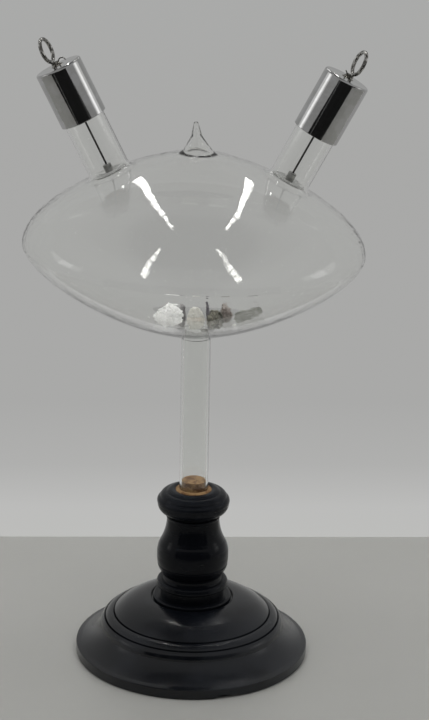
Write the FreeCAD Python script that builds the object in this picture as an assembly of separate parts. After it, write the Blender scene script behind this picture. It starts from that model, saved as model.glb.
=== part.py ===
import FreeCAD, Part
import math
import os

os.makedirs("parts", exist_ok=True)
Vec = FreeCAD.Vector

# Gas-discharge tube with loose stones, cemented in a turned wooden stand.
# Millimetres, +Z up, origin at the centre of the foot's underside.
# X runs through the two side arms, and the viewer stands on the -Y side.

# Clearance between two pieces that are cemented, crimped or soldered together
SEAT = 0.03

# Foot: turned disc with an upright rim, a hollow slope, a bead between two cut rings, and a dome
FOOT_RADIUS = 61.0
RIM_HEIGHT = 5.6
RIM_EDGE = 0.6
LEDGE_WIDTH = 2.7
LEDGE_RISE = 0.5
SLOPE_TOP_RADIUS = 48.3
SLOPE_TOP_HEIGHT = 14.8
SLOPE_HOLLOW = 1.1
ROLL_SWELL = 0.5
OUTER_CUT_RADIUS = 45.8
OUTER_CUT_HEIGHT = 19.5
INNER_CUT_RADIUS = 41.1
INNER_CUT_HEIGHT = 22.2
CUT_WIDTH = 0.9
CUT_DEPTH = 1.0
BEAD_SWELL = 0.45
DOME_SWELL = 1.8
DOME_TOP_HEIGHT = 30.8
QUIRK_WIDTH = 1.0
SEAT_HEIGHT = 29.2

# Chip knocked out of the rim's lower edge, front right
CHIP_ANGLE = -67.5
CHIP_LENGTH = 24.0
CHIP_HEIGHT = 2.3
CHIP_DEPTH = 2.6
CHIP_STEEP_END = 4.5

# Pillar: turned vase with a base ring, a flange, a small neck ring and a mushroom knob
TENON_RADIUS = 9.5
TENON_LENGTH = 17.0
GLUE_ROOM = 0.6
RING_RADIUS = 20.5
RING_HEIGHT = 2.8
RECESS_RADIUS = 16.6
RECESS_HEIGHT = 5.6
FLANGE_RADIUS = 18.8
FLANGE_HEIGHT = 3.4
WAIST_RADIUS = 15.9
WAIST_HEIGHT = 44.6
VASE_LINE_RADIUS = 18.35
VASE_LINE_HEIGHT = 49.7
VASE_RADIUS = 18.7
VASE_HEIGHT = 54.6
SHOULDER_RADIUS = 16.6
SHOULDER_HEIGHT = 63.3
NECK_RING_RADIUS = 13.7
NECK_RING_HEIGHT = 75.3
NECK_RING_WIDTH = 1.4
NECK_RADIUS = 12.6
LINE_DEPTH = 0.35
KNOB_RADIUS = 18.7
KNOB_HEIGHT = 83.6
KNOB_UNDERSIDE = 5.6
MOUTH_HEIGHT = 90.8
SOCKET_RADIUS = 9.4
SOCKET_DEPTH = 28.0

# Cement in the socket, round the glass stem and up inside it
CEMENT_BED = 2.0
CEMENT_RISE = 0.7
CEMENT_PLUG_TOP = 96.0
PLUG_CROWN = 0.8

# Glass stem: a straight tube, welded to the neck under the bulb
STEM_RADIUS = 7.5
STEM_WALL = 1.15
WELD_HEIGHT = 173.5
NECK_FILLET = 3.2
NIPPLE_RADIUS = 2.6
NIPPLE_DROP = 1.5

# Glass bulb: flattened blown body of revolution about its own slightly tilted axis
# A pull is the share of the height or of the radius over which the section keeps its end's direction
BULB_CENTRE_X = -1.7
BULB_TILT = 1.7
BULB_RADIUS = 86.0
BULB_WALL = 0.9
NECK_LENGTH = 2.5
CROWN_HEIGHT = 0.5727 * BULB_RADIUS
CROWN_RIM_PULL = 0.428
CROWN_POLE_PULL = 0.25
BOTTOM_DEPTH = 0.5227 * BULB_RADIUS
BOTTOM_RIM_PULL = 0.254
BOTTOM_POLE_PULL = 0.384
BULB_CENTRE_HEIGHT = WELD_HEIGHT + NECK_LENGTH + BOTTOM_DEPTH

# Exhaust tip on the crown, drawn out and sealed in the flame
TIP_OFFSET = -0.6
TIP_LEAN = -5.0
TIP_BASE_RADIUS = 11.2
TIP_SINK = 4.6
TIP_WAIST_RADIUS = 2.7
TIP_WAIST_HEIGHT = 7.5
TIP_HOLLOW = 0.35
TIP_HEIGHT = 14.7
TIP_END_RADIUS = 1.3
TIP_FILLET = 4.0
TIP_WALL = 1.2

# Side arms: glass tubes fused into the crown, closed by a rounded end under the cap
ARM_ROOT_X = {"left": 0.502 * BULB_RADIUS, "right": 0.522 * BULB_RADIUS}
ARM_ROOT_RISE = {"left": -0.4, "right": 0.5}
ARM_ANGLE = {"left": 27.9, "right": 26.0}
ARM_REACH = 59.1
ARM_RADIUS = 10.4
ARM_WALL = 1.15
ARM_END_ROUND = 5.0
ARM_END_DROP = 5.0
ARM_ROOT_SINK = 9.0
ARM_FILLET = 3.6

# Cap: turned and plated cup over the arm's end
CAP_RADIUS = 11.9
CAP_LENGTH = {"left": 29.0, "right": 31.6}
CAP_WALL = 0.8
CAP_TOP = 0.9
CAP_ROUND = 1.1
CAP_MOUTH_EDGE = 0.3
CAP_HOLE_RADIUS = 2.6
CAP_CEMENT_SETBACK = 0.8
CAP_CEMENT_TOP_GAP = 3.2

# Electrode: seal bead, straight wire, crimped collar and thin disc
BEAD_RADIUS = 1.9
BEAD_SWOLLEN_RADIUS = 2.5
WIRE_RADIUS = 0.5
WIRE_TOP_OUT = 0.6
WIRE_RIVET = 0.5
HUB_RADIUS = 2.1
HUB_LENGTH = 3.9
HUB_EDGE = 0.4
DISC_RADIUS = 8.7
DISC_THICKNESS = 0.8
DISC_EDGE = 0.25
DISC_LIFT = 0.2

# Terminal: wire eye with a shank, solder cone and the thin wire end that curls beside it
EYE_WIRE_RADIUS = 0.95
EYE_RADIUS = 5.95
EYE_TURN = 15.0
EYE_STANDOFF = 2.0
SHANK_OFFSET = 1.55
SHANK_LENGTH_INSIDE = 1.6
SOLDER_RADIUS = 3.2
SOLDER_HEIGHT = 2.2
SOLDER_CROWN_RADIUS = 1.2
TAIL_RADIUS = 0.32
TAIL_ROOT = 1.3
TAIL_RISE = 1.1
TAIL_BEND = 1.75
TAIL_TURN = {"left": 185.0, "right": 75.0}

# Loose stones: each rests on the bulb's floor, square to it, with this running gap
STONE_GAP = 0.3


# Outlines and solids of revolution

def edge(start, end, swell=0.0):
    """Straight or arched edge in the XZ plane; a swell stands to the right of the way it runs."""
    a = Vec(start[0], 0, start[1])
    b = Vec(end[0], 0, end[1])
    if not swell:
        return Part.LineSegment(a, b).toShape()
    along = b - a
    right = Vec(along.z, 0, -along.x).normalize()
    return Part.Arc(a, (a + b) * 0.5 + right * swell, b).toShape()


def turned(outline):
    """Solid of revolution about Z from a closed outline of (radius, height, swell of the edge that ends there)."""
    edges = []
    for here, there in zip(outline, outline[1:] + outline[:1]):
        swell = there[2] if len(there) > 2 else 0.0
        edges.append(edge(here[:2], there[:2], swell))
    face = Part.Face(Part.Wire(edges))
    return face.revolve(Vec(0, 0, 0), Vec(0, 0, 1), 360)


def cap_swell(radius, rise):
    """Swell that turns an outline's last edge, from this radius up to the axis, into part of a sphere."""
    half_chord = math.hypot(radius, rise) / 2
    ball = (radius ** 2 + rise ** 2) / (2 * rise)
    return ball - math.sqrt(ball ** 2 - half_chord ** 2)


def save(node, shape):
    solid = shape.Solids[0] if len(shape.Solids) == 1 else shape
    if not solid.isValid():
        solid = solid.removeSplitter()
    solid.exportStep("parts/" + node + ".step")
    print("%-22s %9.1f mm3  valid %s" % (node, solid.Volume, solid.isValid()))
    return solid


# Foot of the stand

def ring_cut(radius, height):
    """Lower lip, bottom and upper lip of a ring cut into the foot's slope, seen in section."""
    half = CUT_WIDTH / 2
    lower = (radius + half, height - half / 2)
    bottom = (radius - CUT_DEPTH / 2, height - CUT_DEPTH * 0.87)
    upper = (radius - half, height + half / 2)
    return lower, bottom, upper


def foot():
    outer_lower, outer_bottom, outer_upper = ring_cut(OUTER_CUT_RADIUS, OUTER_CUT_HEIGHT)
    inner_lower, inner_bottom, inner_upper = ring_cut(INNER_CUT_RADIUS, INNER_CUT_HEIGHT)
    quirk = RING_RADIUS + QUIRK_WIDTH
    hole = TENON_RADIUS + SEAT
    floor = SEAT_HEIGHT - TENON_LENGTH - GLUE_ROOM
    body = turned([
        (0, 0),
        (FOOT_RADIUS - RIM_EDGE, 0),
        (FOOT_RADIUS, RIM_EDGE),
        (FOOT_RADIUS, RIM_HEIGHT - RIM_EDGE),
        (FOOT_RADIUS - RIM_EDGE, RIM_HEIGHT, RIM_EDGE * 0.29),
        (FOOT_RADIUS - LEDGE_WIDTH, RIM_HEIGHT + LEDGE_RISE),
        (SLOPE_TOP_RADIUS, SLOPE_TOP_HEIGHT, -SLOPE_HOLLOW),
        (*outer_lower, ROLL_SWELL),
        outer_bottom,
        outer_upper,
        (*inner_lower, BEAD_SWELL),
        inner_bottom,
        inner_upper,
        (quirk + RIM_EDGE, DOME_TOP_HEIGHT, DOME_SWELL),
        (quirk, DOME_TOP_HEIGHT - RIM_EDGE, RIM_EDGE * 0.29),
        (quirk, SEAT_HEIGHT),
        (hole, SEAT_HEIGHT),
        (hole, floor),
        (0, floor),
    ])
    half = CHIP_LENGTH / 2
    corners = [
        Vec(FOOT_RADIUS - CHIP_DEPTH, -half, -1),
        Vec(FOOT_RADIUS - CHIP_DEPTH, -half, 0),
        Vec(FOOT_RADIUS - CHIP_DEPTH, CHIP_STEEP_END - half, CHIP_HEIGHT),
        Vec(FOOT_RADIUS - CHIP_DEPTH, half, 0),
        Vec(FOOT_RADIUS - CHIP_DEPTH, half, -1),
    ]
    chip = Part.Face(Part.makePolygon(corners + corners[:1])).extrude(Vec(CHIP_DEPTH + RIM_EDGE, 0, 0))
    chip.rotate(Vec(0, 0, 0), Vec(0, 0, 1), CHIP_ANGLE)
    return body.cut(chip)


# Pillar of the stand, with the tenon below and the stem's socket above

def pillar():
    ring_top = SEAT_HEIGHT + RING_HEIGHT
    flange_base = ring_top + RECESS_HEIGHT
    flange_top = flange_base + FLANGE_HEIGHT
    soft = RIM_EDGE * 0.29
    flange_edge = FLANGE_HEIGHT / 2
    ring_edge = RING_HEIGHT / 3
    neck_ring_top = NECK_RING_HEIGHT + NECK_RING_WIDTH
    underside = KNOB_HEIGHT - KNOB_UNDERSIDE
    knob_rise = MOUTH_HEIGHT - KNOB_HEIGHT
    knob_reach = KNOB_RADIUS - SOCKET_RADIUS
    crown = [
        (SOCKET_RADIUS + knob_reach * math.cos(math.radians(a)),
         KNOB_HEIGHT + knob_rise * math.sin(math.radians(a)))
        for a in (30, 60, 90)
    ]
    crown_swell = 0.045 * (knob_reach + knob_rise)
    return turned([
        (0, SEAT_HEIGHT - TENON_LENGTH),
        (TENON_RADIUS, SEAT_HEIGHT - TENON_LENGTH),
        (TENON_RADIUS, SEAT_HEIGHT),
        (RING_RADIUS, SEAT_HEIGHT),
        (RING_RADIUS, ring_top - ring_edge),
        (RING_RADIUS - ring_edge, ring_top, ring_edge * 0.29),
        (RECESS_RADIUS, ring_top),
        (RECESS_RADIUS, flange_base),
        (FLANGE_RADIUS - soft, flange_base),
        (FLANGE_RADIUS - soft, flange_base + flange_edge, soft),
        (WAIST_RADIUS + soft, flange_top + soft, flange_edge * 0.45),
        (WAIST_RADIUS, WAIST_HEIGHT, -LINE_DEPTH),
        (VASE_LINE_RADIUS, VASE_LINE_HEIGHT - LINE_DEPTH, LINE_DEPTH),
        (VASE_LINE_RADIUS - LINE_DEPTH, VASE_LINE_HEIGHT),
        (VASE_LINE_RADIUS, VASE_LINE_HEIGHT + LINE_DEPTH),
        (VASE_RADIUS, VASE_HEIGHT, LINE_DEPTH / 2),
        (SHOULDER_RADIUS, SHOULDER_HEIGHT, LINE_DEPTH * 2),
        (NECK_RING_RADIUS, NECK_RING_HEIGHT, -LINE_DEPTH * 2),
        (NECK_RING_RADIUS, neck_ring_top, soft * 2),
        (NECK_RADIUS, neck_ring_top),
        (NECK_RADIUS, underside),
        (KNOB_RADIUS - KNOB_UNDERSIDE, underside),
        (KNOB_RADIUS, KNOB_HEIGHT, KNOB_UNDERSIDE * 0.414 * 0.707),
        (*crown[0], crown_swell),
        (*crown[1], crown_swell),
        (*crown[2], crown_swell),
        (SOCKET_RADIUS, MOUTH_HEIGHT - SOCKET_DEPTH),
        (0, MOUTH_HEIGHT - SOCKET_DEPTH),
    ])


# Glass stem and its cement

STEM_END = MOUTH_HEIGHT - SOCKET_DEPTH + CEMENT_BED


def glass_stem():
    tube = Part.makeCylinder(STEM_RADIUS, WELD_HEIGHT - STEM_END, Vec(0, 0, STEM_END))
    bore = Part.makeCylinder(STEM_RADIUS - STEM_WALL, WELD_HEIGHT - STEM_END, Vec(0, 0, STEM_END))
    return tube.cut(bore)


def stem_cement():
    floor = MOUTH_HEIGHT - SOCKET_DEPTH + SEAT
    outside = SOCKET_RADIUS - SEAT
    round_stem = STEM_RADIUS + SEAT
    plug = STEM_RADIUS - STEM_WALL - SEAT
    return turned([
        (0, floor),
        (outside, floor),
        (outside, MOUTH_HEIGHT),
        (round_stem, MOUTH_HEIGHT + CEMENT_RISE, CEMENT_RISE / 3),
        (round_stem, STEM_END - SEAT),
        (plug, STEM_END - SEAT),
        (plug, CEMENT_PLUG_TOP),
        (0, CEMENT_PLUG_TOP + PLUG_CROWN, cap_swell(plug, PLUG_CROWN)),
    ])


# Glass bulb

BULB = FreeCAD.Placement(Vec(BULB_CENTRE_X, 0, BULB_CENTRE_HEIGHT), FreeCAD.Rotation(Vec(0, 1, 0), BULB_TILT))


def meridian(height, rim_pull, pole_pull, inset, sign):
    """Outline of one half of the bulb's section from the rim to the pole, drawn inset by the wall."""
    radius = BULB_RADIUS - inset
    rise = sign * (height - inset)
    curve = Part.BezierCurve()
    curve.setPoles([
        Vec(radius, 0, 0),
        Vec(radius, 0, rise * rim_pull),
        Vec(radius * pole_pull, 0, rise),
        Vec(0, 0, rise),
    ])
    return curve


def crown_line(inset):
    return meridian(CROWN_HEIGHT, CROWN_RIM_PULL, CROWN_POLE_PULL, inset, 1)


def bottom_line(inset):
    return meridian(BOTTOM_DEPTH, BOTTOM_RIM_PULL, BOTTOM_POLE_PULL, inset, -1)


def share_at(curve, radius):
    """Share of the way along a half's outline at which it stands this far from the axis."""
    low, high = 0.0, 1.0
    for _ in range(40):
        middle = (low + high) / 2
        if curve.value(middle).x > radius:
            low = middle
        else:
            high = middle
    return low


def lens(inset):
    """Solid of revolution of the bulb's body, drawn inset by the wall for the hollow inside."""
    upper = crown_line(inset).toShape()
    lower = bottom_line(inset).toShape()
    axis = Part.LineSegment(Vec(0, 0, inset - BOTTOM_DEPTH), Vec(0, 0, CROWN_HEIGHT - inset)).toShape()
    wire = Part.Wire(Part.__sortEdges__([upper, lower, axis]))
    body = Part.Face(wire).revolve(Vec(0, 0, 0), Vec(0, 0, 1), 360).Solids[0]
    body.rotate(Vec(0, 0, 0), Vec(0, 0, 1), 90)
    return body


def arm_place(side):
    """Placement of an arm: its own Z runs outwards along the axis from the point where it meets the crown."""
    sign = 1 if side == "right" else -1
    crown = crown_line(0)
    height = crown.value(share_at(crown, ARM_ROOT_X[side])).z
    root = Vec(sign * ARM_ROOT_X[side], 0, height)
    turn = FreeCAD.Rotation(Vec(0, 1, 0), sign * ARM_ANGLE[side])
    return FreeCAD.Placement(root + turn.multVec(Vec(0, 0, ARM_ROOT_RISE[side])), turn)


def arm_body(inset):
    """Arm's tube with its rounded closed end, drawn inset by the wall for the bore."""
    end = ARM_REACH - ARM_END_DROP - inset
    tube = Part.makeCylinder(ARM_RADIUS - inset, end + ARM_ROOT_SINK, Vec(0, 0, -ARM_ROOT_SINK))
    top = [e for e in tube.Edges if abs(e.CenterOfMass.z - end) < 1e-3 and e.Length > ARM_RADIUS]
    return tube.makeFillet(ARM_END_ROUND - inset, top)


def tip_body(inset):
    """Exhaust tip: hollow flare, slim cone and rounded end, drawn inset by its wall for the bore."""
    base = -TIP_SINK - inset
    top = TIP_HEIGHT - 3 * inset
    end_radius = TIP_END_RADIUS / 3 if inset else TIP_END_RADIUS
    return turned([
        (0, base),
        (TIP_BASE_RADIUS - inset, base),
        (TIP_WAIST_RADIUS - inset, TIP_WAIST_HEIGHT - inset / 2, -TIP_HOLLOW),
        (end_radius, top - end_radius),
        (0, top, cap_swell(end_radius, end_radius)),
    ])


TIP = FreeCAD.Placement(Vec(TIP_OFFSET, 0, CROWN_HEIGHT), FreeCAD.Rotation(Vec(0, 1, 0), TIP_LEAN))


def placed(shape, *placements):
    """Copy of a shape moved by the given placements, the last one first."""
    result = shape.copy()
    for placement in reversed(placements):
        result.Placement = placement.multiply(result.Placement)
    return result


def junctions(shape, centre, radius):
    """Curved edges where a tube of this radius runs into the bulb at this point."""
    near = []
    for e in shape.Edges:
        if e.Degenerated or (e.CenterOfMass - centre).Length > radius * 1.1:
            continue
        if isinstance(e.Curve, Part.BSplineCurve):
            near.append(e)
    return near


def glass_envelope(inset, arm_inset, tip_inset):
    body = placed(lens(inset), BULB)
    for side in ("left", "right"):
        body = body.fuse(placed(arm_body(arm_inset), BULB, arm_place(side)))
    body = body.fuse(placed(tip_body(tip_inset), BULB, TIP))
    return body


def nipple():
    """Drop of glass under the neck's closed end, left where a blowing tube was sealed off."""
    sunk = BULB_WALL / 3
    return turned([
        (0, -NIPPLE_DROP),
        (NIPPLE_RADIUS, 0, cap_swell(NIPPLE_RADIUS, NIPPLE_DROP)),
        (NIPPLE_RADIUS, sunk),
        (0, sunk),
    ])


def glass_bulb():
    outer = glass_envelope(0, 0, 0)
    neck = Part.makeCylinder(STEM_RADIUS, NECK_LENGTH + STEM_RADIUS, Vec(0, 0, WELD_HEIGHT))
    outer = outer.fuse(neck).removeSplitter()
    neck_point = Vec(0, 0, WELD_HEIGHT + NECK_LENGTH)
    outer = outer.makeFillet(NECK_FILLET, junctions(outer, neck_point, STEM_RADIUS))
    tip_point = BULB.multVec(Vec(TIP_OFFSET, 0, CROWN_HEIGHT))
    outer = outer.makeFillet(TIP_FILLET, junctions(outer, tip_point, TIP_BASE_RADIUS))
    hollow = glass_envelope(BULB_WALL, ARM_WALL, TIP_WALL).removeSplitter()
    for side in ("left", "right"):
        root = BULB.multVec(arm_place(side).Base)
        outer = outer.makeFillet(ARM_FILLET, junctions(outer, root, ARM_RADIUS))
        hollow = hollow.makeFillet(ARM_FILLET + ARM_WALL, junctions(hollow, root, ARM_RADIUS))
    glass = outer.cut(hollow)
    glass = glass.cut(Part.makeCylinder(STEM_RADIUS - STEM_WALL, NECK_LENGTH, Vec(0, 0, WELD_HEIGHT)))
    for side in ("left", "right"):
        hole = Part.makeCylinder(BEAD_RADIUS + SEAT, ARM_END_DROP * 2, Vec(0, 0, ARM_REACH - ARM_END_DROP * 2))
        glass = glass.cut(placed(hole, BULB, arm_place(side)))
    return glass.fuse(placed(nipple(), FreeCAD.Placement(neck_point, FreeCAD.Rotation())))


# Cap and its cement, drawn along the arm with Z outwards from the crown

ARM_END = ARM_REACH - ARM_END_DROP


def cap(side):
    mouth = ARM_REACH - CAP_LENGTH[side]
    inside = CAP_RADIUS - CAP_WALL
    ceiling = ARM_REACH - CAP_TOP
    inner_round = CAP_ROUND - CAP_WALL
    return turned([
        (inside, mouth + CAP_MOUTH_EDGE),
        (inside + CAP_MOUTH_EDGE, mouth),
        (CAP_RADIUS - CAP_MOUTH_EDGE, mouth),
        (CAP_RADIUS, mouth + CAP_MOUTH_EDGE),
        (CAP_RADIUS, ARM_REACH - CAP_ROUND),
        (CAP_RADIUS - CAP_ROUND, ARM_REACH, CAP_ROUND * 0.293),
        (CAP_HOLE_RADIUS, ARM_REACH),
        (CAP_HOLE_RADIUS, ceiling),
        (inside - inner_round, ceiling),
        (inside, ceiling - inner_round, -inner_round * 0.293),
    ])


def cap_cement(side):
    bottom = ARM_REACH - CAP_LENGTH[side] + CAP_CEMENT_SETBACK
    top = ARM_REACH - CAP_CEMENT_TOP_GAP
    fill = Part.makeCylinder(CAP_RADIUS - CAP_WALL - SEAT, top - bottom, Vec(0, 0, bottom))
    arm_room = ARM_RADIUS + SEAT
    room = Part.makeCylinder(arm_room, ARM_END + SEAT + ARM_ROOT_SINK, Vec(0, 0, -ARM_ROOT_SINK))
    rim = [e for e in room.Edges if e.CenterOfMass.z > ARM_END and e.Length > ARM_RADIUS]
    room = room.makeFillet(ARM_END_ROUND, rim)
    bead_room = Part.makeCylinder(BEAD_SWOLLEN_RADIUS + SEAT, ARM_END_DROP * 2, Vec(0, 0, ARM_END - SEAT))
    return fill.cut(room).cut(bead_room)


# Electrode and its seal

def seal_bead():
    low = ARM_END - ARM_WALL
    bulge = BEAD_SWOLLEN_RADIUS - BEAD_RADIUS
    return turned([
        (WIRE_RADIUS + SEAT, low - 2 * bulge - SEAT),
        (BEAD_RADIUS, low - bulge - SEAT, bulge / 4),
        (BEAD_SWOLLEN_RADIUS, low - SEAT, bulge / 4),
        (BEAD_RADIUS, low - SEAT),
        (BEAD_RADIUS, ARM_END + SEAT),
        (BEAD_SWOLLEN_RADIUS, ARM_END + SEAT),
        (BEAD_RADIUS, ARM_END + bulge + SEAT, bulge / 4),
        (WIRE_RADIUS + SEAT, ARM_END + 2 * bulge + SEAT, bulge / 4),
    ])


DISC_TOP = DISC_LIFT + DISC_THICKNESS
HUB_BASE = DISC_TOP + SEAT


def lead_wire():
    low = DISC_LIFT - WIRE_RIVET
    return Part.makeCylinder(WIRE_RADIUS, ARM_REACH + WIRE_TOP_OUT - low, Vec(0, 0, low))


def electrode_hub():
    return turned([
        (WIRE_RADIUS + SEAT, HUB_BASE),
        (HUB_RADIUS, HUB_BASE),
        (HUB_RADIUS, HUB_BASE + HUB_LENGTH - HUB_EDGE),
        (HUB_RADIUS - HUB_EDGE, HUB_BASE + HUB_LENGTH, HUB_EDGE * 0.29),
        (WIRE_RADIUS + SEAT, HUB_BASE + HUB_LENGTH),
    ])


def electrode_disc():
    return turned([
        (WIRE_RADIUS + SEAT, DISC_LIFT),
        (DISC_RADIUS - DISC_EDGE, DISC_LIFT),
        (DISC_RADIUS, DISC_LIFT + DISC_EDGE, DISC_EDGE * 0.29),
        (DISC_RADIUS, DISC_TOP - DISC_EDGE),
        (DISC_RADIUS - DISC_EDGE, DISC_TOP, DISC_EDGE * 0.29),
        (WIRE_RADIUS + SEAT, DISC_TOP),
    ])


# Terminal on top of the cap

def shank(extra, sign):
    low = ARM_REACH - CAP_TOP - SHANK_LENGTH_INSIDE
    high = ARM_REACH + EYE_STANDOFF + EYE_WIRE_RADIUS
    return Part.makeCylinder(EYE_WIRE_RADIUS + extra, high - low, Vec(sign * SHANK_OFFSET, 0, low))


def terminal_eye(side):
    sign = 1 if side == "right" else -1
    centre = Vec(sign * SHANK_OFFSET, 0, ARM_REACH + EYE_STANDOFF + EYE_WIRE_RADIUS + EYE_RADIUS)
    turn = math.radians(EYE_TURN)
    ring = Part.makeTorus(EYE_RADIUS, EYE_WIRE_RADIUS, centre, Vec(math.cos(turn), sign * math.sin(turn), 0))
    return ring.fuse(shank(0, sign)).removeSplitter()


def tail_path(side):
    """Centre line of the wire end: up out of the solder, then over towards the middle of the tube."""
    sign = 1 if side == "right" else -1
    foot_point = Vec(-sign * TAIL_ROOT, 0, ARM_REACH + SEAT)
    bend_start = foot_point + Vec(0, 0, TAIL_RISE)
    centre = bend_start + Vec(-sign * TAIL_BEND, 0, 0)

    def on_bend(degrees):
        a = math.radians(degrees)
        return centre + Vec(sign * TAIL_BEND * math.cos(a), 0, TAIL_BEND * math.sin(a))

    turn = TAIL_TURN[side]
    rise = Part.LineSegment(foot_point, bend_start).toShape()
    bend = Part.Arc(bend_start, on_bend(turn / 2), on_bend(turn)).toShape()
    return Part.Wire([rise, bend])


def wire_tail(side):
    path = tail_path(side)
    start = path.Edges[0].Vertexes[0].Point
    profile = Part.Wire(Part.makeCircle(TAIL_RADIUS, start, Vec(0, 0, 1)))
    return path.makePipeShell([profile], True, False)


def solder(side):
    sign = 1 if side == "right" else -1
    plug = CAP_HOLE_RADIUS - SEAT
    cone = turned([
        (0, ARM_REACH - CAP_TOP),
        (plug, ARM_REACH - CAP_TOP),
        (plug, ARM_REACH + SEAT),
        (SOLDER_RADIUS, ARM_REACH + SEAT),
        (SOLDER_CROWN_RADIUS, ARM_REACH + SOLDER_HEIGHT, -SOLDER_HEIGHT / 8),
        (0, ARM_REACH + SOLDER_HEIGHT),
    ])
    cone = cone.cut(shank(SEAT, sign))
    cone = cone.cut(Part.makeCylinder(WIRE_RADIUS + SEAT, ARM_REACH + WIRE_TOP_OUT + SEAT))
    tail_room = Part.makeCylinder(TAIL_RADIUS + SEAT, SOLDER_HEIGHT, Vec(-sign * TAIL_ROOT, 0, ARM_REACH))
    return cone.cut(tail_room)


# Loose stones on the bulb's floor

FLOOR = bottom_line(BULB_WALL)
FLOOR_ARC = 0.75 * BULB_RADIUS


def floor_place(x, y, yaw):
    """Placement on the bulb's floor at this place: Z stands square to the floor."""
    share = share_at(FLOOR, math.hypot(x, y))
    along = FLOOR.tangent(share)[0]
    bearing = math.atan2(y, x)
    up = Vec(along.z * math.cos(bearing), along.z * math.sin(bearing), -along.x)
    upright = FreeCAD.Rotation(Vec(0, 0, 1), up)
    turn = FreeCAD.Rotation(Vec(0, 0, 1), yaw)
    return FreeCAD.Placement(Vec(x, y, FLOOR.value(share).z), upright.multiply(turn))


def ring_wire(length, depth, height, sides, seed, shift=0.0):
    """Uneven polygon, one level of a stone; the seed sets how its corners vary."""
    points = []
    for k in range(sides):
        a = 2 * math.pi * (k + 0.25 * math.sin(seed + 1.7 * k)) / sides
        reach = 0.5 * (1 + 0.14 * math.sin(2.3 * seed + 2.9 * k))
        points.append(Vec(shift + length * reach * math.cos(a), depth * reach * math.sin(a), height))
    return Part.makePolygon(points + points[:1])


def stone(size, sides, seed, levels, lean=0.0):
    """Broken stone lofted through uneven polygons; levels give (share of the height, share of the width)."""
    length, depth, height = size
    lift = STONE_GAP + (length ** 2 + depth ** 2) / (8 * FLOOR_ARC)
    rings = []
    for share, width in levels:
        rings.append(ring_wire(length * width, depth * width, lift + height * share, sides, seed, lean * share))
    return Part.makeLoft(rings, True, True)


LUMP = [(0.0, 0.66), (0.3, 1.0), (0.72, 0.82), (1.0, 0.38)]
BLADE = [(0.0, 0.9), (0.5, 1.0), (1.0, 0.62)]
SLAB = [(0.0, 0.86), (0.45, 1.0), (1.0, 0.8)]

# Node, place on the floor (x, y), yaw, (length, depth, height), corners, seed, levels, lean of the top
STONES = [
    ("white_stone", -13.0, -2.6, 8, (14.0, 10.6, 11.2), 8, 1.0, LUMP, 1.6),
    ("grey_blade", -4.9, 1.9, -38, (6.2, 2.6, 11.2), 5, 2.0, BLADE, -0.8),
    ("beige_stone", 2.9, 0.2, 20, (10.0, 9.0, 10.8), 7, 3.1, LUMP, -0.6),
    ("thin_shard", 9.4, 6.4, 24, (2.6, 1.0, 12.0), 5, 1.4, BLADE, 0.2),
    ("dark_splinter", 8.6, -9.2, -32, (9.4, 1.5, 1.7), 5, 4.2, SLAB, 0.3),
    ("green_stone", 12.9, -2.0, -8, (10.6, 9.4, 9.2), 8, 5.3, LUMP, 0.6),
    ("pink_stone", 18.8, 5.8, 34, (6.8, 7.4, 8.6), 7, 6.1, LUMP, 0.4),
    ("white_chip", 22.6, -6.0, 0, (2.4, 2.2, 1.9), 6, 7.4, LUMP, 0.2),
    ("clear_prism", 30.2, 0.5, 4, (15.2, 5.4, 5.2), 6, 8.2, SLAB, 0.6),
]


# Build and save every piece

save("foot", foot())
save("pillar", pillar())
save("stem_cement", stem_cement())
save("glass_stem", glass_stem())
save("glass_bulb", glass_bulb())

for side in ("left", "right"):
    on_arm = [BULB, arm_place(side)]
    save(side + "_cap", placed(cap(side), *on_arm))
    save(side + "_cap_cement", placed(cap_cement(side), *on_arm))
    save(side + "_seal_bead", placed(seal_bead(), *on_arm))
    save(side + "_lead_wire", placed(lead_wire(), *on_arm))
    save(side + "_electrode_hub", placed(electrode_hub(), *on_arm))
    save(side + "_electrode_disc", placed(electrode_disc(), *on_arm))
    save(side + "_terminal_eye", placed(terminal_eye(side), *on_arm))
    save(side + "_solder", placed(solder(side), *on_arm))
    save(side + "_wire_tail", placed(wire_tail(side), *on_arm))

for node, x, y, yaw, size, sides, seed, levels, lean in STONES:
    save(node, placed(stone(size, sides, seed, levels, lean), BULB, floor_place(x, y, yaw)))
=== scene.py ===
import bmesh
import bpy
import math
from mathutils import Matrix, Vector, noise


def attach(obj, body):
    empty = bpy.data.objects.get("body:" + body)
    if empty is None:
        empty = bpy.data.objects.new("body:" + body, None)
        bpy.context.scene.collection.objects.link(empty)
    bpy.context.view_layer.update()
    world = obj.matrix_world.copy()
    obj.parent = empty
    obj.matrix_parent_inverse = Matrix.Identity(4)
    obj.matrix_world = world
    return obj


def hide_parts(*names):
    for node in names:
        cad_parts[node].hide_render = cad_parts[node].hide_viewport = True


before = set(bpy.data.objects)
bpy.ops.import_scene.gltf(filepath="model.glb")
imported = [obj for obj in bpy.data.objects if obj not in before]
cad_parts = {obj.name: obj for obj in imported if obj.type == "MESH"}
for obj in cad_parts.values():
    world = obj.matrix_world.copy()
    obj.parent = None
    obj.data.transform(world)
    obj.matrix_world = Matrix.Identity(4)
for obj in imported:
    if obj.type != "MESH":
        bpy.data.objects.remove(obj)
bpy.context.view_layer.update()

scene = bpy.context.scene
scene.view_settings.view_transform = "Standard"


# Camera: stands in front of the tube at a little above its own height and looks down on the foot.
# A long lens, so the foot's rings and the caps' rims stay nearly parallel.

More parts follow.
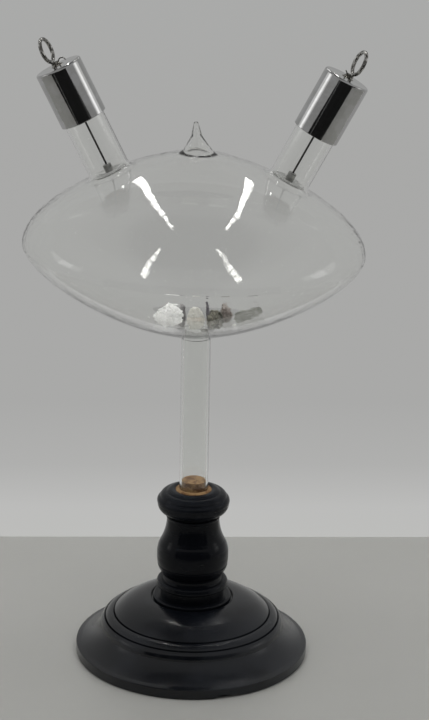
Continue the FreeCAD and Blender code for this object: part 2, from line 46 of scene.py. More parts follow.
camera_data = bpy.data.cameras.new("camera")
camera_data.sensor_fit = "VERTICAL"
sensor_height = 24.0
picture_rows = 720.0
focal_rows = 2202.5
camera_data.sensor_height = sensor_height
camera_data.lens = sensor_height * focal_rows / picture_rows
camera_data.clip_end = 50.0
camera = bpy.data.objects.new("camera", camera_data)
scene.collection.objects.link(camera)
look_down = 18.3656
lean = 1.0777
look = Matrix.Rotation(math.radians(90.0 - look_down), 4, "X") @ Matrix.Rotation(math.radians(lean), 4, "Z")
camera.matrix_world = Matrix.Translation((0.009585, -1.064698, 0.514942)) @ look
scene.camera = camera


# Shelf: pale satin laminate that ends at a low grey panel close behind the bulb.
# The panel stands askew to the viewer, shows only from the front and glows by itself, a painted light that is
# brightest at its foot.

def new_object(name, mesh, material):
    """Object at the origin with one material."""
    piece = bpy.data.objects.new(name, mesh)
    scene.collection.objects.link(piece)
    mesh.materials.append(material)
    return piece


def sheet_mesh(name, corners):
    """Flat four-cornered mesh with a UV map: u across from the first corner, v along in metres."""
    mesh = bpy.data.meshes.new(name)
    mesh.from_pydata([Vector(c) for c in corners], [], [(0, 1, 2, 3)])
    length = (Vector(corners[3]) - Vector(corners[0])).length
    layer = mesh.uv_layers.new(name="across_along")
    for loop, uv in zip(layer.data, ((0, 0), (1, 0), (1, length), (0, length))):
        loop.uv = uv
    return mesh


def material_with(name):
    """New material with nodes; gives the material, its tree and its Principled BSDF."""
    material = bpy.data.materials.new(name)
    material.use_nodes = True
    return material, material.node_tree, material.node_tree.nodes["Principled BSDF"]


shelf_material, tree, shader = material_with("shelf_laminate")
where = tree.nodes.new("ShaderNodeTexCoord")
cloud = tree.nodes.new("ShaderNodeTexNoise")
cloud.inputs["Scale"].default_value = 9.0
cloud.inputs["Detail"].default_value = 5.0
tint = tree.nodes.new("ShaderNodeValToRGB")
tint.color_ramp.elements[0].color = (0.385, 0.385, 0.365, 1)
tint.color_ramp.elements[1].color = (0.44, 0.44, 0.42, 1)
tree.links.new(where.outputs["Object"], cloud.inputs["Vector"])
tree.links.new(cloud.outputs["Fac"], tint.inputs["Fac"])
tree.links.new(tint.outputs["Color"], shader.inputs["Base Color"])
shader.inputs["Roughness"].default_value = 0.33
panel_height = 0.39
shelf_left = (-2.5, 0.0391, 0)
shelf_right = (2.5, 0.2621, 0)
shelf = new_object("shelf", sheet_mesh("shelf", (
    (-2.5, -2.5, 0), (2.5, -2.5, 0), shelf_right, shelf_left)), shelf_material)

panel_material, tree, shader = material_with("back_panel")
tree.nodes.remove(shader)
where = tree.nodes.new("ShaderNodeTexCoord")
axes = tree.nodes.new("ShaderNodeSeparateXYZ")
tree.links.new(where.outputs["Object"], axes.inputs["Vector"])
up_panel = tree.nodes.new("ShaderNodeMapRange")
up_panel.inputs["From Max"].default_value = panel_height
tree.links.new(axes.outputs["Z"], up_panel.inputs["Value"])
# Painted light: the panel's glow is brightest at its foot and fades upwards.
shade = tree.nodes.new("ShaderNodeValToRGB")
shade.color_ramp.elements[0].color = (0.505, 0.507, 0.495, 1)
shade.color_ramp.elements[1].color = (0.405, 0.41, 0.405, 1)
for place, value in ((0.05, 0.50), (0.12, 0.43), (0.22, 0.397), (0.6, 0.395)):
    stop = shade.color_ramp.elements.new(place)
    stop.color = (value, value, value * 0.985, 1)
tree.links.new(up_panel.outputs["Result"], shade.inputs["Fac"])
panel_glow = tree.nodes.new("ShaderNodeEmission")
tree.links.new(shade.outputs["Color"], panel_glow.inputs["Color"])
clear = tree.nodes.new("ShaderNodeBsdfTransparent")
behind = tree.nodes.new("ShaderNodeNewGeometry")
hide = tree.nodes.new("ShaderNodeMixShader")
tree.links.new(behind.outputs["Backfacing"], hide.inputs["Fac"])
tree.links.new(panel_glow.outputs["Emission"], hide.inputs[1])
tree.links.new(clear.outputs["BSDF"], hide.inputs[2])
tree.links.new(hide.outputs["Shader"], tree.nodes["Material Output"].inputs["Surface"])
panel_sheet = sheet_mesh("back_panel", (
    shelf_left, shelf_right, (*shelf_right[:2], panel_height), (*shelf_left[:2], panel_height)))
panel = new_object("back_panel", panel_sheet, panel_material)
panel.visible_diffuse = False
panel.visible_shadow = False


# Room: two rows of louvred ceiling lights that run away from the viewer, dim ceiling between them,
# brighter windows far left and right, dark sheets in front that show only in mirror images as painted dark
# reflections, and a soft lamp high above the shelf.

world = bpy.data.worlds.new("room")
scene.world = world
world.use_nodes = True
tree = world.node_tree
tree.nodes.clear()
where = tree.nodes.new("ShaderNodeTexCoord")
axes = tree.nodes.new("ShaderNodeSeparateXYZ")
tree.links.new(where.outputs["Generated"], axes.inputs["Vector"])


def band(tree, value, low, high, soft):
    """One between low and high, fading to nought over the soft width outside each end."""
    up = tree.nodes.new("ShaderNodeMapRange")
    up.interpolation_type = "SMOOTHSTEP"
    up.inputs["From Min"].default_value = low - soft
    up.inputs["From Max"].default_value = low
    down = tree.nodes.new("ShaderNodeMapRange")
    down.interpolation_type = "SMOOTHSTEP"
    down.inputs["From Min"].default_value = high
    down.inputs["From Max"].default_value = high + soft
    down.inputs["To Min"].default_value = 1.0
    down.inputs["To Max"].default_value = 0.0
    both = tree.nodes.new("ShaderNodeMath")
    both.operation = "MULTIPLY"
    tree.links.new(value, up.inputs["Value"])
    tree.links.new(value, down.inputs["Value"])
    tree.links.new(up.outputs["Result"], both.inputs[0])
    tree.links.new(down.outputs["Result"], both.inputs[1])
    return both.outputs["Value"]


def combine(tree, operation, first, second=0.0):
    """Math node on two sockets or numbers."""
    node = tree.nodes.new("ShaderNodeMath")
    node.operation = operation
    for socket, value in zip(node.inputs, (first, second)):
        if isinstance(value, (int, float)):
            socket.default_value = value
        else:
            tree.links.new(value, socket)
    return node.outputs["Value"]


def distance_from_axis(tree, axes):
    """Distance from the upright axis, from a Separate XYZ node."""
    squares = [combine(tree, "MULTIPLY", axes.outputs[k], axes.outputs[k]) for k in "XY"]
    return combine(tree, "SQRT", combine(tree, "ADD", *squares))


level = distance_from_axis(tree, axes)
facing = combine(tree, "DIVIDE", axes.outputs["Y"], combine(tree, "MAXIMUM", level, 0.001))
height = axes.outputs["Z"]

room = tree.nodes.new("ShaderNodeValToRGB")
room.color_ramp.elements[0].position = 0.0
room.color_ramp.elements[0].color = (0.30, 0.30, 0.29, 1)
room.color_ramp.elements[1].position = 1.0
room.color_ramp.elements[1].color = (0.08, 0.08, 0.08, 1)
room_levels = ((0.25, 0.40), (0.49, 0.40), (0.52, 0.36), (0.62, 0.34), (0.8, 0.40), (0.93, 0.30), (0.965, 0.12))
for place, value in room_levels:
    stop = room.color_ramp.elements.new(place)
    stop.color = (value, value, value * 0.99, 1)
tree.links.new(combine(tree, "ADD", combine(tree, "MULTIPLY", height, 0.5), 0.5), room.inputs["Fac"])

window = combine(tree, "MULTIPLY", band(tree, facing, -0.14, 0.40, 0.08), band(tree, height, 0.19, 0.36, 0.03))
core = combine(tree, "MULTIPLY", band(tree, facing, -0.02, 0.16, 0.05), band(tree, height, 0.21, 0.34, 0.03))
lit = combine(tree, "ADD", combine(tree, "MULTIPLY", window, 1.3), 1.0)
lit = combine(tree, "ADD", lit, combine(tree, "MULTIPLY", core, 2.2))
room_light = tree.nodes.new("ShaderNodeBackground")
output = tree.nodes.new("ShaderNodeOutputWorld")
tree.links.new(room.outputs["Color"], room_light.inputs["Color"])
tree.links.new(lit, room_light.inputs["Strength"])
tree.links.new(room_light.outputs["Background"], output.inputs["Surface"])

louvre_material, tree, shader = material_with("louvred_light")
tree.nodes.remove(shader)
along = tree.nodes.new("ShaderNodeUVMap")
along.uv_map = "across_along"
uv = tree.nodes.new("ShaderNodeSeparateXYZ")
tree.links.new(along.outputs["UV"], uv.inputs["Vector"])
blades_per_metre = 6.5
columns = 2.0
lamp_strength = 13.0
blade_strength = 5.0
cross_share = combine(tree, "FRACT", combine(tree, "MULTIPLY", uv.outputs["Y"], blades_per_metre))
column_share = combine(tree, "FRACT", combine(tree, "MULTIPLY", uv.outputs["X"], columns))
cross_blade = band(tree, cross_share, 0.26, 0.74, 0.12)
long_blade = band(tree, column_share, 0.10, 0.90, 0.08)
bright = combine(tree, "MULTIPLY", combine(tree, "MULTIPLY", cross_blade, long_blade), lamp_strength)
glow = tree.nodes.new("ShaderNodeEmission")
glow.inputs["Color"].default_value = (1.0, 0.99, 0.97, 1)
tree.links.new(combine(tree, "ADD", bright, blade_strength), glow.inputs["Strength"])
tree.links.new(glow.outputs["Emission"], tree.nodes["Material Output"].inputs["Surface"])


def ribbon_mesh(name, path, near_width, far_width, height):
    """Level ribbon along a path of (x, y) places that widens evenly; UV map as a sheet's."""
    path = [Vector(place) for place in path]
    corners, distances = [], []
    for k, place in enumerate(path):
        ahead = (path[min(k + 1, len(path) - 1)] - path[max(k - 1, 0)]).normalized()
        share = k / (len(path) - 1)
        half = 0.5 * (near_width + (far_width - near_width) * share)
        for hand in (-1, 1):
            corners.append((place.x + hand * half * ahead.y, place.y - hand * half * ahead.x, height))
        distances.append(distances[-1] + (place - path[k - 1]).length if k else 0.0)
    faces = [(2 * k, 2 * k + 1, 2 * k + 3, 2 * k + 2) for k in range(len(path) - 1)]
    mesh = bpy.data.meshes.new(name)
    mesh.from_pydata(corners, [], faces)
    layer = mesh.uv_layers.new(name="across_along")
    for loop in mesh.loops:
        layer.data[loop.index].uv = (loop.vertex_index % 2, distances[loop.vertex_index // 2])
    return mesh


light_rows = {
    "left": ((-0.19, 0.30), (-0.27, 0.42), (-0.33, 0.60), (-0.44, 0.85), (-0.57, 1.20),
             (-0.74, 1.80), (-1.05, 2.90)),
    "right": ((0.42, 0.37), (0.46, 0.50), (0.535, 0.69), (0.615, 0.98), (0.715, 1.38),
              (0.82, 1.93), (1.02, 3.0)),
}
ceiling_height = 2.0
near_width = 0.02
far_width = 0.085
for side, row in light_rows.items():
    ribbon = ribbon_mesh(side + "_light", row, near_width, far_width, ceiling_height)
    strip = new_object(side + "_light", ribbon, louvre_material)
    strip.visible_camera = False

# Painted reflection: dark sheets seen only in mirror images, which paint dark bands into the caps, glass and
# wood.
reflection_card_material, tree, shader = material_with("dark_cloth")
where = tree.nodes.new("ShaderNodeTexCoord")
card_mottle = tree.nodes.new("ShaderNodeTexNoise")
card_mottle.inputs["Scale"].default_value = 14.0
card_tone = tree.nodes.new("ShaderNodeValToRGB")
card_tone.color_ramp.elements[0].color = (0.002, 0.002, 0.002, 1)
card_tone.color_ramp.elements[1].color = (0.012, 0.012, 0.013, 1)
tree.links.new(where.outputs["Object"], card_mottle.inputs["Vector"])
tree.links.new(card_mottle.outputs["Fac"], card_tone.inputs["Fac"])
tree.links.new(card_tone.outputs["Color"], shader.inputs["Base Color"])
shader.inputs["Roughness"].default_value = 0.9
reflection_card_place = -0.62
reflection_card_top = 0.42
reflection_card_widths = (("far_left", -0.95, -0.52), ("left", -0.50, -0.296), ("middle", -0.284, 0.40),
                ("right", 0.412, 0.56), ("far_right", 0.585, 0.95))
for name, left, right in reflection_card_widths:
    cloth = new_object("dark_cloth_" + name, sheet_mesh("dark_cloth_" + name, (
        (left, reflection_card_place, 0), (right, reflection_card_place, 0),
        (right, reflection_card_place, reflection_card_top), (left, reflection_card_place, reflection_card_top))), reflection_card_material)
    cloth.visible_camera = False
    cloth.visible_diffuse = False
    cloth.visible_transmission = False
    cloth.visible_shadow = False

lamp_data = bpy.data.lights.new("soft_lamp", "AREA")
lamp_data.size = 1.5
lamp_data.energy = 16.0
lamp = bpy.data.objects.new("soft_lamp", lamp_data)
lamp.location = (0.0, -0.2, 1.8)
lamp.visible_camera = False
lamp.visible_glossy = False
lamp.visible_transmission = False
scene.collection.objects.link(lamp)


# Foot: disc of hardwood turned on a faceplate, ebonised with black stain and waxed to a soft gloss.
# The tool left faint rings, and the wax lies cloudy, a little lighter in random patches and specks.

def sockets(group, inputs, outputs):
    """Named sockets of a shader node group."""
    for name, kind, value in inputs:
        socket = group.interface.new_socket(name=name, in_out="INPUT", socket_type="NodeSocket" + kind)
        socket.default_value = value
    for name, kind in outputs:
        group.interface.new_socket(name=name, in_out="OUTPUT", socket_type="NodeSocket" + kind)


handling = bpy.data.node_groups.new("handling_marks", "ShaderNodeTree")
sockets(handling, (("Clean", "Color", (0.5, 0.5, 0.5, 1)), ("Worn", "Color", (0.5, 0.5, 0.5, 1)),
                   ("Spread", "Float", 60.0), ("Gloss", "Float", 0.2), ("Dulling", "Float", 0.15)),
        (("Color", "Color"), ("Roughness", "Float"), ("Height", "Float")))
enter = handling.nodes.new("NodeGroupInput")
leave = handling.nodes.new("NodeGroupOutput")
where = handling.nodes.new("ShaderNodeTexCoord")
smear = handling.nodes.new("ShaderNodeTexNoise")
smear.inputs["Detail"].default_value = 6.0
smear.inputs["Roughness"].default_value = 0.62
speck = handling.nodes.new("ShaderNodeTexVoronoi")
speck.inputs["Randomness"].default_value = 1.0
handling.links.new(where.outputs["Object"], smear.inputs["Vector"])
handling.links.new(where.outputs["Object"], speck.inputs["Vector"])
handling.links.new(enter.outputs["Spread"], smear.inputs["Scale"])
handling.links.new(combine(handling, "MULTIPLY", enter.outputs["Spread"], 9.0), speck.inputs["Scale"])
patch = band(handling, smear.outputs["Fac"], 0.58, 2.0, 0.16)
dust = band(handling, speck.outputs["Distance"], -1.0, 0.05, 0.04)
marks = combine(handling, "MAXIMUM", patch, combine(handling, "MULTIPLY", dust, 0.7))
blend = handling.nodes.new("ShaderNodeMix")
blend.data_type = "RGBA"
handling.links.new(marks, blend.inputs[0])
handling.links.new(enter.outputs["Clean"], blend.inputs[6])
handling.links.new(enter.outputs["Worn"], blend.inputs[7])
handling.links.new(blend.outputs[2], leave.inputs["Color"])
dull = combine(handling, "MULTIPLY", marks, enter.outputs["Dulling"])
handling.links.new(combine(handling, "ADD", enter.outputs["Gloss"], dull), leave.inputs["Roughness"])
handling.links.new(smear.outputs["Fac"], leave.inputs["Height"])


def marked(tree, shader, clean, worn, spread, gloss, dulling):
    """Handling marks placed in a material; gives the group node."""
    node = tree.nodes.new("ShaderNodeGroup")
    node.node_tree = handling
    node.inputs["Clean"].default_value = (*clean, 1)
    node.inputs["Worn"].default_value = (*worn, 1)
    node.inputs["Spread"].default_value = spread
    node.inputs["Gloss"].default_value = gloss
    node.inputs["Dulling"].default_value = dulling
    tree.links.new(node.outputs["Color"], shader.inputs["Base Color"])
    tree.links.new(node.outputs["Roughness"], shader.inputs["Roughness"])
    return node


def raised(tree, shader, height, distance, strength=1.0, below=None):
    """Bump from a height socket; gives the node so that another can lie on it."""
    bump = tree.nodes.new("ShaderNodeBump")
    bump.inputs["Distance"].default_value = distance
    bump.inputs["Strength"].default_value = strength
    tree.links.new(height, bump.inputs["Height"])
    if below:
        tree.links.new(below.outputs["Normal"], bump.inputs["Normal"])
    tree.links.new(bump.outputs["Normal"], shader.inputs["Normal"])
    return bump


def ebonised(name, along_grain, ring_pitch, mirror):
    """Black stained wood: fibres drawn out along one direction and faint tool rings round the lathe's axis."""
    material, tree, shader = material_with(name)
    marks_node = marked(tree, shader, (0.0035, 0.0042, 0.006), (0.009, 0.0105, 0.014), 22.0, 0.15, 0.10)
    where = tree.nodes.new("ShaderNodeTexCoord")
    stretch = tree.nodes.new("ShaderNodeMapping")
    stretch.inputs["Scale"].default_value = along_grain
    fibre = tree.nodes.new("ShaderNodeTexNoise")
    fibre.inputs["Scale"].default_value = 1.0
    fibre.inputs["Detail"].default_value = 7.0
    fibre.inputs["Roughness"].default_value = 0.7
    tree.links.new(where.outputs["Object"], stretch.inputs["Vector"])
    tree.links.new(stretch.outputs["Vector"], fibre.inputs["Vector"])
    axes = tree.nodes.new("ShaderNodeSeparateXYZ")
    tree.links.new(where.outputs["Object"], axes.inputs["Vector"])
    across = combine(tree, "ADD", distance_from_axis(tree, axes), axes.outputs["Z"])
    ring = combine(tree, "SINE", combine(tree, "MULTIPLY", across, 2 * math.pi / ring_pitch))
    low = raised(tree, shader, marks_node.outputs["Height"], 0.00006)
    middle = raised(tree, shader, fibre.outputs["Fac"], 0.00003, 0.8, low)
    raised(tree, shader, ring, 0.000006, 0.8, middle)
    shader.inputs["IOR"].default_value = 1.5
    shader.inputs["Specular IOR Level"].default_value = mirror
    return material


def dress(node, material):
    """Gives a CAD node's own object this material."""
    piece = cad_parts[node]
    piece.data.materials.clear()
    piece.data.materials.append(material)
    return piece


dress("foot", ebonised("ebonised_foot", (60, 900, 900), 0.0011, 0.46))


# Pillar: turned between centres from the same wood, with the grain running up it.
# It is glued by its round tenon into the foot and bored from the top for the glass stem.

dress("pillar", ebonised("ebonised_pillar", (900, 900, 50), 0.0009, 0.16))


# Cement: shellac and brick dust pressed hot round the stem and up inside it.
# It set brown and uneven, paler in random patches and specks.

cement_material, tree, shader = material_with("socket_cement")
marks_node = marked(tree, shader, (0.15, 0.066, 0.018), (0.36, 0.22, 0.10), 210.0, 0.55, 0.3)
where = tree.nodes.new("ShaderNodeTexCoord")
crumb = tree.nodes.new("ShaderNodeTexVoronoi")
crumb.inputs["Scale"].default_value = 900.0
tree.links.new(where.outputs["Object"], crumb.inputs["Vector"])
low = raised(tree, shader, marks_node.outputs["Height"], 0.0008)
raised(tree, shader, crumb.outputs["Distance"], 0.0005, 0.9, low)
dress("stem_cement", cement_material)
for side in ("left", "right"):
    dress(side + "_cap_cement", cement_material)


# Glass: clear soda glass blown and fused in the flame, a little wavy and with the odd speck of dust.
# Bulb, arms and tip are one piece; the stem is welded under the neck.

def glass(name, tint, wave, ior=1.47):
    """Clear glass with a slow ripple of the given depth and a few dull specks."""
    material, tree, shader = material_with(name)
    shader.inputs["Transmission Weight"].default_value = 1.0
    shader.inputs["IOR"].default_value = ior
    shader.inputs["Base Color"].default_value = (*tint, 1)
    where = tree.nodes.new("ShaderNodeTexCoord")
    ripple = tree.nodes.new("ShaderNodeTexNoise")
    ripple.inputs["Scale"].default_value = 34.0
    ripple.inputs["Detail"].default_value = 2.0
    speck = tree.nodes.new("ShaderNodeTexVoronoi")
    speck.inputs["Scale"].default_value = 260.0
    tree.links.new(where.outputs["Object"], ripple.inputs["Vector"])
    tree.links.new(where.outputs["Object"], speck.inputs["Vector"])
    dust = band(tree, speck.outputs["Distance"], -1.0, 0.03, 0.03)
    tree.links.new(combine(tree, "MULTIPLY", dust, 0.35), shader.inputs["Roughness"])
    raised(tree, shader, ripple.outputs["Fac"], wave)
    return material


blown_glass = glass("blown_glass", (0.985, 0.988, 0.98), 0.00005)
dress("glass_bulb", blown_glass)
dress("glass_stem", glass("drawn_glass", (0.975, 0.982, 0.97), 0.00005))
for side in ("left", "right"):
    dress(side + "_seal_bead", glass(side + "_bead_glass", (0.9, 0.93, 0.95), 0.0002))
# The glass casts no shadow, so that the lamp reaches the stones through it.
for node in ("glass_bulb", "glass_stem", "left_seal_bead", "right_seal_bead"):
    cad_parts[node].visible_shadow = False


# Caps: cups turned from brass rod, nickelled and polished, pushed over the arms on cement.
# The plating is bright, with a few small scratches and finger marks.

plated, tree, shader = material_with("nickel_plate")
marks_node = marked(tree, shader, (0.55, 0.55, 0.555), (0.49, 0.49, 0.485), 130.0, 0.03, 0.05)
shader.inputs["Metallic"].default_value = 1.0
where = tree.nodes.new("ShaderNodeTexCoord")
scratch = tree.nodes.new("ShaderNodeTexNoise")
scratch.inputs["Scale"].default_value = 700.0
scratch.inputs["Detail"].default_value = 3.0
tree.links.new(where.outputs["Object"], scratch.inputs["Vector"])
low = raised(tree, shader, marks_node.outputs["Height"], 0.00002)
raised(tree, shader, scratch.outputs["Fac"], 0.000006, 0.6, low)
for side in ("left", "right"):
    dress(side + "_cap", plated)


# Electrodes: a straight wire down each arm, a crimped collar and a thin spun disc at its end.
# The discharge has left the collar and disc grey and slightly matt; the wire is coloured nearly black.

def metal(name, clean, worn, gloss, dulling, spread=300.0, bump=0.00004):
    """Bare metal with handling marks."""
    material, tree, shader = material_with(name)
    marks_node = marked(tree, shader, clean, worn, spread, gloss, dulling)
    shader.inputs["Metallic"].default_value = 1.0
    raised(tree, shader, marks_node.outputs["Height"], bump)
    return material


drawn_wire = metal("drawn_wire", (0.022, 0.022, 0.023), (0.06, 0.055, 0.05), 0.34, 0.2)
collar_metal = metal("collar_metal", (0.36, 0.36, 0.35), (0.25, 0.25, 0.24), 0.34, 0.2)
disc_metal = metal("disc_metal", (0.62, 0.62, 0.61), (0.45, 0.45, 0.44), 0.22, 0.16)
for side in ("left", "right"):
    dress(side + "_lead_wire", drawn_wire)
    dress(side + "_electrode_hub", collar_metal)
    dress(side + "_electrode_disc", disc_metal)


# Terminals: tinned wire bent to an eye and soldered into the cap's top.
# The lead wire comes up beside the eye and ends in a small curl.

tinned = metal("tinned_wire", (0.52, 0.51, 0.49), (0.16, 0.155, 0.145), 0.10, 0.2, 420.0, 0.00003)
solder_metal = metal("solder", (0.34, 0.33, 0.30), (0.10, 0.095, 0.085), 0.22, 0.25, 500.0, 0.00022)
for side in ("left", "right"):
    dress(side + "_terminal_eye", tinned)
    dress(side + "_solder", solder_metal)
    dress(side + "_wire_tail", tinned)
    # These are left out of mirror images, which weakens the grey blots in the bulb under each arm.
    for part in ("_cap", "_cap_cement", "_electrode_disc", "_electrode_hub", "_lead_wire", "_solder"):
        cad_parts[side + part].visible_glossy = False


# Loose stones: broken bits of mineral that lie on the bulb's floor and glow when the tube runs.
# The milky ones carry a painted glow in their own colour that brightens them.
# Each is its solid made rough: remeshed fine, then its faces broken up by noise.

def broken(node, voxel, coarse, coarse_size, fine, fine_size, seed):
    """Rough mesh about a stone's own solid; coarse noise breaks the faces, fine noise grains them."""
    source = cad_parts[node]
    mesh = source.data.copy()
    mesh.name = node + "_rough"
    body = bmesh.new()
    body.from_mesh(mesh)
    bmesh.ops.remove_doubles(body, verts=body.verts, dist=1e-6)
    body.to_mesh(mesh)
    body.free()
    piece = bpy.data.objects.new(node + "_rough", mesh)
    scene.collection.objects.link(piece)
    remesh = piece.modifiers.new("voxels", "REMESH")
    remesh.mode = "VOXEL"
    remesh.voxel_size = voxel
    shape = bpy.data.meshes.new_from_object(piece.evaluated_get(bpy.context.evaluated_depsgraph_get()))
    bpy.data.objects.remove(piece)
    shape.materials.clear()  # the solid's own material comes with the copy
    shift = Vector((seed * 3.1, seed * 1.7, seed * 0.9))
    body = bmesh.new()
    body.from_mesh(shape)
    body.normal_update()
    moves = []
    for v in body.verts:
        cell = noise.voronoi(v.co / coarse_size + shift)[0]
        facet = cell[1] - cell[0]
        grain = noise.fractal(v.co / fine_size + shift, 0.8, 2.0, 3)
        moves.append(v.normal * (coarse * (0.35 - (1 - min(1.0, facet * 1.6))) + fine * grain))
    for v, move in zip(body.verts, moves):
        v.co += move
    body.normal_update()
    for face in body.faces:
        face.smooth = True
    body.to_mesh(shape)
    body.free()
    shape.name = node + "_rough"
    return shape


def mineral(name, light, dark, scale, roughness, through, ior=1.55, stretch=(1, 1, 1), bump=0.0004,
            painted_glow=0.0):
    """Mottled mineral; through is how clear it is, and the last argument a painted glow in its own colour that
    brightens a milky one.
    """
    material, tree, shader = material_with(name)
    where = tree.nodes.new("ShaderNodeTexCoord")
    turn = tree.nodes.new("ShaderNodeMapping")
    turn.inputs["Scale"].default_value = stretch
    vein = tree.nodes.new("ShaderNodeTexNoise")
    vein.inputs["Scale"].default_value = scale
    vein.inputs["Detail"].default_value = 6.0
    vein.inputs["Distortion"].default_value = 0.8
    mix = tree.nodes.new("ShaderNodeValToRGB")
    mix.color_ramp.elements[0].position = 0.36
    mix.color_ramp.elements[0].color = (*dark, 1)
    mix.color_ramp.elements[1].position = 0.64
    mix.color_ramp.elements[1].color = (*light, 1)
    tree.links.new(where.outputs["Object"], turn.inputs["Vector"])
    tree.links.new(turn.outputs["Vector"], vein.inputs["Vector"])
    tree.links.new(vein.outputs["Fac"], mix.inputs["Fac"])
    tree.links.new(mix.outputs["Color"], shader.inputs["Base Color"])
    raised(tree, shader, vein.outputs["Fac"], bump)
    shader.inputs["Roughness"].default_value = roughness
    shader.inputs["Transmission Weight"].default_value = through
    shader.inputs["IOR"].default_value = ior
    # Painted glow: the mineral gives off its own colour as light, which brightens the milky stones.
    tree.links.new(mix.outputs["Color"], shader.inputs["Emission Color"])
    shader.inputs["Emission Strength"].default_value = painted_glow
    return material


crystal_growth = bpy.data.node_groups.new("crystal_growth", "GeometryNodeTree")
for socket_name, kind in (("Stone", "Geometry"), ("Density", "Float"), ("Smallest", "Float"),
                          ("Largest", "Float"), ("Seed", "Int"), ("Finish", "Material")):
    crystal_growth.interface.new_socket(name=socket_name, in_out="INPUT", socket_type="NodeSocket" + kind)
crystal_growth.interface.new_socket(name="Stone", in_out="OUTPUT", socket_type="NodeSocketGeometry")
enter = crystal_growth.nodes.new("NodeGroupInput")
leave = crystal_growth.nodes.new("NodeGroupOutput")
facing_up = crystal_growth.nodes.new("GeometryNodeInputNormal")
split = crystal_growth.nodes.new("ShaderNodeSeparateXYZ")
scatter = crystal_growth.nodes.new("GeometryNodeDistributePointsOnFaces")
crystal = crystal_growth.nodes.new("GeometryNodeMeshCube")
crystal.inputs["Size"].default_value = (1.0, 0.8, 1.3)
turn = crystal_growth.nodes.new("FunctionNodeRandomValue")
turn.data_type = "FLOAT_VECTOR"
turn.inputs["Max"].default_value = (2 * math.pi, 2 * math.pi, 2 * math.pi)
size = crystal_growth.nodes.new("FunctionNodeRandomValue")
size.data_type = "FLOAT"
plant = crystal_growth.nodes.new("GeometryNodeInstanceOnPoints")
together = crystal_growth.nodes.new("GeometryNodeJoinGeometry")
real = crystal_growth.nodes.new("GeometryNodeRealizeInstances")
finish = crystal_growth.nodes.new("GeometryNodeSetMaterial")
size_low, size_high = [socket for socket in size.inputs if socket.enabled and socket.name in ("Min", "Max")]
size_out = [socket for socket in size.outputs if socket.enabled][0]
turn_out = [socket for socket in turn.outputs if socket.enabled][0]
upper = combine(crystal_growth, "GREATER_THAN", split.outputs["Z"], 0.1)
for start, end in (
        (facing_up.outputs["Normal"], split.inputs["Vector"]),
        (enter.outputs["Stone"], scatter.inputs["Mesh"]), (upper, scatter.inputs["Selection"]),
        (enter.outputs["Density"], scatter.inputs["Density"]), (enter.outputs["Seed"], scatter.inputs["Seed"]),
        (enter.outputs["Smallest"], size_low), (enter.outputs["Largest"], size_high),
        (scatter.outputs["Points"], plant.inputs["Points"]),
        (crystal.outputs["Mesh"], plant.inputs["Instance"]),
        (turn_out, plant.inputs["Rotation"]), (size_out, plant.inputs["Scale"]),
        (plant.outputs["Instances"], together.inputs["Geometry"]),
        (enter.outputs["Stone"], together.inputs["Geometry"]),
        (together.outputs["Geometry"], real.inputs["Geometry"]),
        (real.outputs["Geometry"], finish.inputs["Geometry"]),
        (enter.outputs["Finish"], finish.inputs["Material"]),
        (finish.outputs["Geometry"], leave.inputs["Stone"])):
    crystal_growth.links.new(start, end)


def overgrown(piece, density, smallest, largest, seed):
    """Small blunt crystals on the upper sides of a rough stone, baked into its plain mesh."""
    values = {"Density": density, "Smallest": smallest, "Largest": largest, "Seed": seed,
              "Finish": piece.data.materials[0]}
    growth = piece.modifiers.new("crystals", "NODES")
    growth.node_group = crystal_growth
    for item in crystal_growth.interface.items_tree:
        if item.in_out == "INPUT" and item.name in values:
            growth[item.identifier] = values[item.name]
    shape = bpy.data.meshes.new_from_object(piece.evaluated_get(bpy.context.evaluated_depsgraph_get()))
    piece.modifiers.remove(growth)
    shape.name = piece.data.name
    piece.data = shape


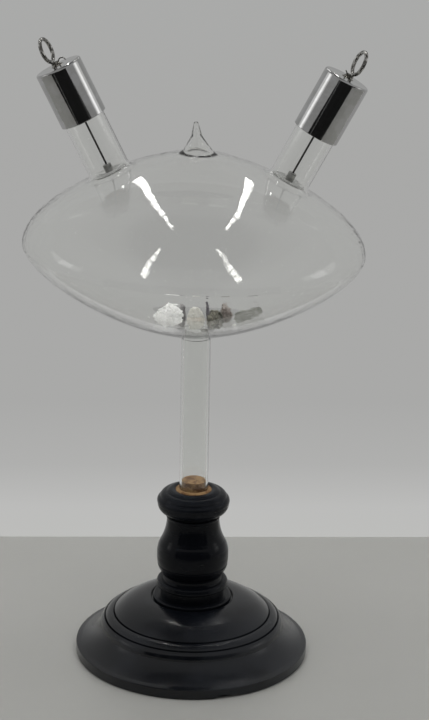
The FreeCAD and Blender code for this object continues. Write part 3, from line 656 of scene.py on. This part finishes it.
stones = (
    ("white_stone", dict(voxel=0.00022, coarse=0.0007, coarse_size=0.0022,
                    fine=0.0003, fine_size=0.0006, seed=1),
     mineral("white_mineral", (0.90, 0.90, 0.885), (0.80, 0.80, 0.78), 300, 0.5, 0.0,
             bump=0.0002, painted_glow=0.36), "white_mineral"),
    ("grey_blade", dict(voxel=0.0002, coarse=0.0002, coarse_size=0.003,
                    fine=0.00008, fine_size=0.0008, seed=2),
     mineral("grey_mineral", (0.5, 0.485, 0.49), (0.24, 0.23, 0.235), 300, 0.25, 0.3, 1.5, (1, 1, 0.3)),
     "grey_mineral"),
    ("beige_stone", dict(voxel=0.00022, coarse=0.0004, coarse_size=0.003,
                    fine=0.0002, fine_size=0.0008, seed=3),
     mineral("beige_mineral", (0.78, 0.77, 0.72), (0.62, 0.61, 0.56), 420, 0.35, 0.1,
             painted_glow=0.26), "beige_mineral"),
    ("thin_shard", dict(voxel=0.00014, coarse=0.0001, coarse_size=0.002,
                    fine=0.00005, fine_size=0.0006, seed=9),
     mineral("shard_mineral", (0.5, 0.48, 0.52), (0.22, 0.2, 0.24), 300, 0.2, 0.4, 1.5, (1, 1, 0.3)),
     "grey_mineral"),
    ("dark_splinter", dict(voxel=0.00014, coarse=0.0001, coarse_size=0.002,
                    fine=0.00008, fine_size=0.0006, seed=4),
     mineral("dark_mineral", (0.14, 0.12, 0.1), (0.03, 0.025, 0.02), 600, 0.3, 0.0), "dark_mineral"),
    ("green_stone", dict(voxel=0.0002, coarse=0.0006, coarse_size=0.0026,
                    fine=0.0003, fine_size=0.0006, seed=5),
     mineral("green_mineral", (0.40, 0.385, 0.31), (0.045, 0.042, 0.028), 300, 0.3, 0.0, stretch=(1, 1, 0.4)),
     "green_mineral"),
    ("pink_stone", dict(voxel=0.0002, coarse=0.0004, coarse_size=0.002,
                    fine=0.0002, fine_size=0.0006, seed=6),
     mineral("pink_mineral", (0.52, 0.46, 0.42), (0.30, 0.25, 0.22), 450, 0.4, 0.1), "pink_mineral"),
    ("white_chip", dict(voxel=0.0001, coarse=0.0002, coarse_size=0.0008,
                    fine=0.0001, fine_size=0.0003, seed=7),
     mineral("chip_mineral", (0.92, 0.92, 0.9), (0.75, 0.75, 0.72), 900, 0.25, 0.2, painted_glow=0.2),
     "white_mineral"),
    ("clear_prism", dict(voxel=0.0002, coarse=0.00012, coarse_size=0.003,
                    fine=0.00006, fine_size=0.0008, seed=8),
     mineral("clear_mineral", (0.76, 0.77, 0.72), (0.40, 0.41, 0.36), 260, 0.15, 0.5, 1.52,
             (0.25, 1, 1)), "clear_mineral"),
)
for node, cut, material, slot in stones:
    piece = new_object(node + "_rough", broken(node, **cut), material)
    if node == "white_stone":
        overgrown(piece, density=420000.0, smallest=0.0006, largest=0.0014, seed=5)
    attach(piece, "stones")
    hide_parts(node)
